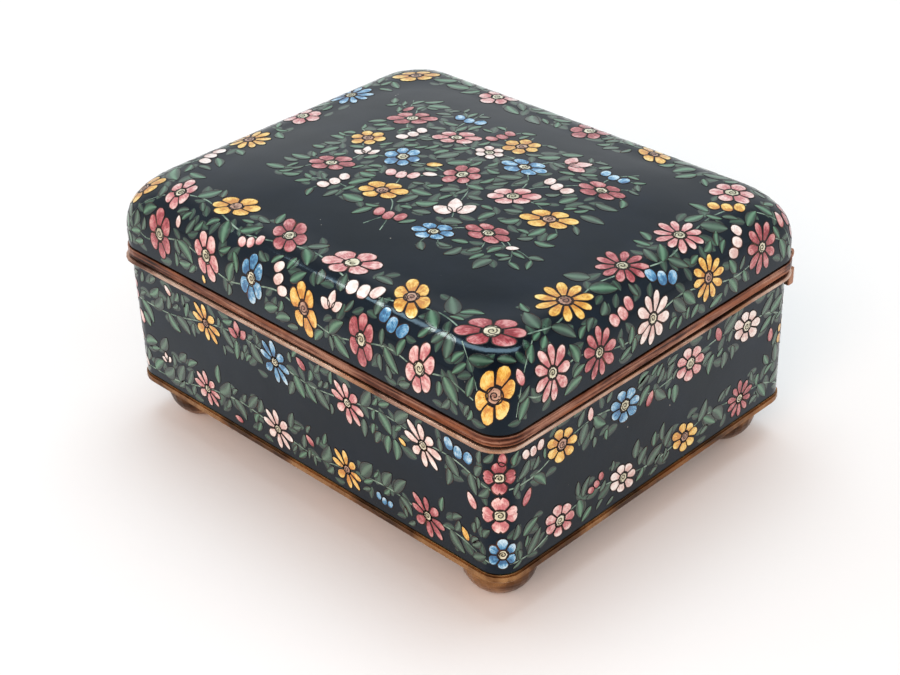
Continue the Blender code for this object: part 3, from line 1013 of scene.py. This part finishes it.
BASE_ROWS = {
    "front": row(
        ("slant_daisy", (YELLOW, -27.9, 33, 40, 0.88), (BLUE, -6.2, 32.8, 42, 0.94),
         (PINK, 15, 32.6, 42, 0.94), (WHITE, 35.5, 32.4, 44, 0.96)),
        ("trio", (CRIMSON, -17.6, 35.4, 14, 1.05)),
        ("bud", (CRIMSON, 1.9, 35.8, 50, 0.8), (WHITE, -40.1, 36, 40, 0.66), (YELLOW, 30, 30.6, 60, 0.55)),
        ("beads", (BLUE, 44.6, 35.2, -12, 0.95)),
        ("slant_daisy", (PINK, -29.9, 16, 46, 0.86), (WHITE, -7.2, 16.2, 44, 0.9),
         (YELLOW, 13.5, 16.2, 44, 0.88), (CRIMSON, 36, 16.4, 44, 0.92)),
        ("bud", (CRIMSON, -19.9, 12.9, 80, 0.66), (CRIMSON, 2.8, 18, 50, 0.72)),
        ("beads", (BLUE, 24, 13.8, -10, 0.62)),
        ("bud", (YELLOW, 46, 17.4, 30, 0.75)),
        ("trio", (WHITE, -43.7, 17.9, 20, 0.66)),
    ),
    "right": row(
        ("rosette", (YELLOW, -27.5, 33.2, 62, 0.98), (BLUE, -9.7, 32.8, 66, 0.98),
         (PINK, 10.2, 32.8, 64, 1.02), (WHITE, 28.5, 33, 62, 0.98)),
        ("beads", (WHITE, -35.3, 35.8, 0, 0.76)),
        ("bud", (PINK, -19.6, 35.8, 0, 0.75), (CRIMSON, -2.2, 30.6, -25, 0.85), (CRIMSON, 19, 35.4, 20, 0.9),
         (CRIMSON, 37, 27, 0, 0.8)),
        ("rosette", (PINK, -28, 16, 60, 0.96), (WHITE, -9.7, 16, 60, 0.88), (YELLOW, 9.4, 15.8, 64, 0.88)),
        ("daisy", (CRIMSON, 27.5, 16, 0, 0.86)),
        ("beads", (CRIMSON, -17.6, 18.8, 30, 0.66)),
    ),
    "front_right": row(
        ("hearts", (CRIMSON, 0, 33, 0, 0.8), (PINK, 0, 24.6, 0, 0.92)),
        ("six", (BLUE, 0.4, 15.6, 0, 0.88)),
        ("bud", (CRIMSON, 0.6, 37, 0, 0.75), (PINK, -8, 26, 30, 0.9), (CRIMSON, 8, 26.4, -30, 0.9)),
    ),
    "front_left": row(
        ("six", (CRIMSON, 0, 32)),
        ("bud", (PINK, 3.4, 25.5, 20, 0.85), (WHITE, 1.5, 20.5, 20, 0.8), (WHITE, 2.2, 14, 40, 0.8)),
    ),
    "back_right": row(
        ("six", (YELLOW, -1, 26, 0, 0.85)),
        ("bud", (PINK, -1, 33.8, 0, 0.85)),
    ),
    "back_left": row(
        ("hearts", (PINK, 0, 31, 0, 0.9)),
        ("six", (BLUE, 0, 20, 0, 0.9)),
    ),
}


# How far the upper row is lowered on the back, to clear the hinge, and what counts as that row
BACK_LOWERED = 3.4
UPPER_ROW = 25.0


def recoloured(motifs, change, lowered=0):
    """The same row in other colours, for a side that the photograph doesn't show."""
    return [
        (kind, change.get(colour, colour), u, v - (lowered if v > UPPER_ROW else 0), *rest)
        for kind, colour, u, v, *rest in motifs]


BASE_ROWS["back"] = recoloured(
    BASE_ROWS["front"], {YELLOW: PINK, BLUE: CRIMSON, PINK: YELLOW, CRIMSON: BLUE}, BACK_LOWERED)
BASE_ROWS["left"] = recoloured(
    BASE_ROWS["right"], {YELLOW: PINK, BLUE: CRIMSON, PINK: BLUE, CRIMSON: YELLOW})


def draw_row(face, motifs):
    for kind, colour, u, v, turn, scale in motifs:
        place = face.place(u, v, radians(turn))
        draw = small_flower if kind in SMALL else flower
        draw(face.art, place, kind, colour, scale)


# Lowest and highest tip of a leaf, in mm up each side
BASE_SPAN = (11.8, 38.6)
LID_SPAN = (0.5, 25.0)
PANEL_SPAN = (-26.5, 26.5)

# A level just over the lid, in metres, from which the panel is laid on it
PANEL_LEVEL = 0.062

# The lid's shoulder turns in further at the corners, and those sides start a little lower
CORNER_STRETCH = 1.55
CORNER_LOWERED = 0.0003

# Reach of the lid's upper garlands, as a share of the lower ones'
UPPER_SHARE = 0.86

# Where each side and each corner lies from the middle
SIDES = {"front": (0, -1), "back": (0, 1), "right": (1, 0), "left": (-1, 0)}
CORNERS = {"front_left": (-1, -1), "front_right": (1, -1), "back_left": (-1, 1), "back_right": (1, 1)}


def faces_of(art, sides, overhang, middle_y, level, span, profile=None, fall=0.0, stretch=1.0):
    """A drawing side on each wall, or across each rounded corner. The level falls from back to front."""
    tuck = (CORNER_RADIUS + overhang) * (1 - sqrt(0.5)) if sides is CORNERS else 0
    half_x, half_y = LENGTH / 2 + overhang - tuck, WIDTH / 2 + overhang - tuck
    faces = {}
    for name, (x, y) in sides.items():
        middle = (x * half_x, middle_y + y * half_y, level - fall * (1 - y) / 2)
        faces[name] = Face(art, middle, (x, y, 0), span, profile, stretch=stretch)
    return faces


def stops_of(motifs, low, high, end):
    """Where a garland passes: the large flowers between two levels, and its two ends."""
    large = sorted(motif[2] for motif in motifs if motif[0] in FLOWERS and low <= motif[3] <= high)
    return [-end] + large + [end]


# Lower and upper edges of the leafy bands, in mm up the side
BASE_BANDS = ((12.0, 20.8), (28.2, 38.4))
LID_BAND = (0.8, 22.8)

# The base's garlands: lowest and highest flower, level, and how far the ends sink
BASE_GARLANDS = ((UPPER_ROW, 40, 33.2, 3.0), (10, 22, 16.2, 3.0))

# Half length of each side that garlands reach over, in mm
BASE_REACH = {"front": 52.5, "back": 52.5, "right": 41.5, "left": 41.5}
LID_REACH = {"front": 49, "back": 49, "right": 38, "left": 38}


def draw_motifs(faces, corners, rows, half_width, low, high, tries):
    """The flowers of all sides and corners, and dim leaves on the corners."""
    for name, face in faces.items():
        draw_row(face, rows[name])
    for name, face in corners.items():
        draw_row(face, rows[name])
        fill_dim_leaves(face, half_width, low, high, tries)


def draw_base(art):
    faces, corners = (faces_of(art, sides, 0, CENTRING_Y, 0, BASE_SPAN) for sides in (SIDES, CORNERS))
    draw_motifs(faces, corners, BASE_ROWS, 6.0, 12.2, 38.2, tries=260)
    for name, face in faces.items():
        reach = BASE_REACH[name]
        upper_lowered = BACK_LOWERED if name == "back" else 0.0
        for low, high in BASE_BANDS:
            lowered = upper_lowered if low > UPPER_ROW else 0.0
            fill_dim_leaves(face, reach, low - lowered, high - lowered, tries=14 * reach)
        for low, high, level, sink in BASE_GARLANDS:
            lowered = upper_lowered if low == UPPER_ROW else 0.0
            level, sink = level - lowered, sink - lowered
            stops = stops_of(BASE_ROWS[name], low, high, reach)
            garland(face, stops, level, 1.4, sink, gap=1.9, leaf_length=5.2)
            fill_leaves(face, reach, level, 3.3, 4.3, tries=26 * reach, aim=60, spread=0.7)
    for face in corners.values():
        fill_leaves(face, 8.5, 25, 12.5, 5.0, tries=700, aim=90, spread=0.6)


def draw_lid(art):
    profile = lid_profile()
    middle_y = CENTRING_Y + LID_SET_BACK
    fall = (HINGE_Y + WIDTH / 2) * sin(LID_DROP_ANGLE)
    faces = faces_of(art, SIDES, LID_OVERHANG, middle_y, LID_BOTTOM, LID_SPAN, profile, fall)
    corners = faces_of(
        art, CORNERS, LID_OVERHANG, middle_y, LID_BOTTOM - CORNER_LOWERED, LID_SPAN, profile,
        stretch=CORNER_STRETCH)
    draw_motifs(faces, corners, LID_ROWS, 8.5, 1.0, 21.0, tries=300)
    for name, face in faces.items():
        reach = LID_REACH[name]
        inner = reach * UPPER_SHARE
        fill_dim_leaves(face, reach, *LID_BAND, tries=26 * reach)
        garland(face, stops_of(LID_ROWS[name], 0, 10, reach), 6.0, 1.6, gap=2.0, leaf_length=5.6)
        garland(face, stops_of(LID_ROWS[name], 15, 22, inner), 16.6, 1.6, gap=2.0, leaf_length=5.8)
        fill_leaves(face, reach, 7.0, 6.0, 5.0, tries=44 * reach, aim=65, spread=0.9)
        fill_leaves(face, inner, 16.5, 4.5, 5.4, tries=34 * reach)
    for face in corners.values():
        for side in (-1, 1):
            vine(face, [(side * 3.4, 3), (side * 5.5, 11), (side * 6.5, 17)], leaf_length=3.8, gap=2.2)
        fill_leaves(face, 9, 11, 9.5, 4.6, tries=600)


def draw_panel(art):
    """The cluster on top of the lid. Each flower is joined by a stem to one nearer the middle."""
    face = Face(art, (0, 0, PANEL_LEVEL), UP, PANEL_SPAN, up=Vector((0, 1, 0)))
    draw_row(face, PANEL)
    fill_dim_leaves(face, 32.0, -23.0, 23.0, tries=1500)
    anchors = [Vector((motif[2], motif[3])) for motif in PANEL]
    for anchor in anchors:
        inner = [other for other in anchors if other.length < anchor.length - 1.0]
        if inner:
            goal = min(inner, key=lambda other: (other - anchor).length)
            stem = bowed(goal, anchor, (anchor - goal).orthogonal() * 0.14)
            vine(face, stem, leaf_length=3.6, gap=2.0, width=0.26)
    for anchor in anchors:
        if hypot(anchor.x / 33, anchor.y / 23) > 0.72:
            for turn in (-0.5, 0.35):
                end = anchor + aimed(atan2(anchor.y, anchor.x) + turn, 5.5)
                twig = bowed(anchor, end, Vector((0, 0.4)))
                vine(face, twig, leaf_length=3.0, gap=1.8, width=0.24)
    fill_leaves(face, 31, 0, 21.5, 5.0, tries=4600, aim=45, spread=0.7)


def build_art(art, body):
    for name, materials in CELL_MATERIALS.items():
        slot_name = "rim_copper" if name in ("wires", "leaf_wires") else "enamel"
        getattr(art, name).build(f"{body}_{name}", body, materials, slot_name)


# Copper of each solid: its dark, body, amber and bright tones, and how far it is streaked
COPPERS = {
    "lid_rim": ((40, 20, 15), (108, 62, 46), (148, 80, 42), (176, 126, 102), 0.60),
    # The base rim's tones are much paler than the lid rim's: painted highlight, the pale line that its
    # rounded top edge catches
    "base_rim": ((104, 70, 58), (176, 136, 116), (168, 118, 82), (214, 186, 166), 0.50),
    "golden_copper": ((66, 42, 26), (112, 74, 44), (142, 90, 40), (170, 126, 82), 0.12),
    "hinge": ((66, 38, 27), (118, 72, 52), (142, 84, 48), (172, 124, 98), 0.12),
}
DRESSED = {
    "lid_rim": ["lid_rim"],
    "base_rim": ["base_rim"],
    "golden_copper": ["hinge_pin", "bottom_plate"] + [f"foot_{corner}" for corner in CORNERS],
    "hinge": ["base_hinge_leaf", "lid_hinge_leaf"],
}


def dress_solids():
    """Copper for the solids that show as they are."""
    for name, tones in COPPERS.items():
        material = copper(f"{name}_finish", *tones)
        for solid in DRESSED[name]:
            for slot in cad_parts[solid].material_slots:
                slot.material = material


# Stage

def make_floor():
    reach = FLOOR_REACH
    corners = [(-reach, -reach, 0), (reach, -reach, 0), (reach, reach, 0), (-reach, reach, 0)]
    floor = link("floor", new_mesh("floor", corners, [(0, 1, 2, 3)], [0], [floor_paper()]))
    floor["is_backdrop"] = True


def area_light(name, location, target, size, power, colour, in_gloss=True, in_diffuse=True, spin=0.0):
    data = bpy.data.lights.new(name, "AREA")
    data.shape = "RECTANGLE"
    data.size, data.size_y = size
    data.energy = power
    data.color = colour
    light = link(name, data)
    light.location = location
    light.rotation_mode = "QUATERNION"
    aim = (Vector(target) - Vector(location)).to_track_quat("-Z", "Y")
    light.rotation_quaternion = aim @ Quaternion((0, 0, 1), spin)
    light.visible_glossy = in_gloss
    light.visible_diffuse = in_diffuse


# How bright the surround is, from the height of a direction (0 level, 1 straight up)
SURROUND = ((0.30, 0.96), (0.62, 1.04), (0.88, 0.32), (1.0, 0.20))


def make_lights():
    """A pale surround, dimmer overhead, a cool soft light above and a warm one in front."""
    world = bpy.data.worlds.new("studio")
    make = Nodes(world)
    direction = make.node("ShaderNodeTexCoord").outputs["Generated"]
    height = make.node("ShaderNodeSeparateXYZ", {"Vector": direction}).outputs["Z"]
    sky = make.ramp(height, *((at, (level * 0.96, level * 0.985, level, 1.0)) for at, level in SURROUND))
    make.put(make.tree.nodes["Background"].inputs["Color"], sky)
    bpy.context.scene.world = world
    area_light("overhead", (-0.16, 0.26, 1.20), (0, 0, 0.03), (0.95, 0.80), 9.2, (0.68, 0.88, 1.0), False)
    area_light("front_fill", (0.50, -0.85, 0.60), (0, 0, 0.03), (0.90, 0.90), 7.9, (1.0, 0.70, 0.56), False)
    area_light(
        "strip", (-0.25, 0.0, 0.80), (0, 0, 0.03), (0.95, 0.10), 3.3, (0.86, 0.98, 1.0),
        in_diffuse=False, spin=radians(-49))


def make_camera():
    """The camera turns about its target, stands back from it, and is rolled on the spot."""
    turn = Matrix.Rotation(CAMERA_YAW, 4, "Z") @ Matrix.Rotation(radians(90) - CAMERA_PITCH, 4, "X")
    aside = Matrix.Translation((CAMERA_ASIDE, CAMERA_RAISE, CAMERA_DISTANCE))
    data = bpy.data.cameras.new("camera")
    data.sensor_fit = "HORIZONTAL"
    data.sensor_width = 36.0
    data.lens = CAMERA_LENS
    data.clip_start = 0.01
    camera = link("camera", data)
    roll = Matrix.Rotation(CAMERA_ROLL, 4, "Z")
    camera.matrix_world = Matrix.Translation(CAMERA_TARGET) @ turn @ aside @ roll
    bpy.context.scene.camera = camera


def main():
    lid = lid_ground(GROUND_ENAMELS)
    base = base_ground(GROUND_ENAMELS)
    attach(lid, "lid")
    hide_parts("lid_shell")
    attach(base, "base")
    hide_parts("box_body")

    lid_art = Art(Ground(lid), (0, 0, 1))
    draw_lid(lid_art)
    draw_panel(lid_art)
    build_art(lid_art, "lid")
    base_art = Art(Ground(base), (0, 1, 1))
    draw_base(base_art)
    build_art(base_art, "base")
    dress_solids()

    make_floor()
    make_lights()
    make_camera()
    bpy.context.scene.view_settings.view_transform = "Standard"

    boxes = {"cad": cad_box, "visual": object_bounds()}
    {name: [list(corner) for corner in box] for name, box in boxes.items()}


main()
